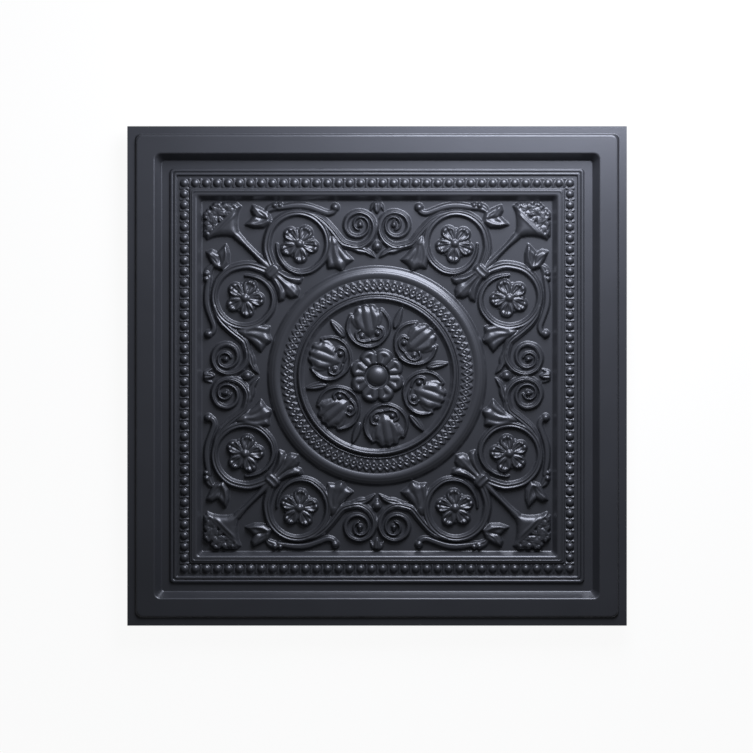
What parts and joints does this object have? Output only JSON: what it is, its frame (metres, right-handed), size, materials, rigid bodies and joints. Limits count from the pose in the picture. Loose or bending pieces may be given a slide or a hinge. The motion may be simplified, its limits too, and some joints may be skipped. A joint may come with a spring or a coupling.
{
  "type": "ceiling tile",
  "caption": "Square coffered lay-in ceiling tile, vacuum formed from thin plastic sheet, with a raised border, bead moulding, scrollwork field and round medallion.",
  "frame": {"origin": "middle of the flat back of the sunk field, which is the lowest face of the tile lying face up", "axes": "+Z out of the decorated face; +X and +Y along two edges of the square"},
  "size_m": [0.603, 0.603, 0.0228],
  "materials": {
    "black_plastic": "satin black, vacuum formed PVC"
  },
  "bodies": {
    "root": {"ceiling_tile": "black_plastic"}
  },
  "joints": []
}
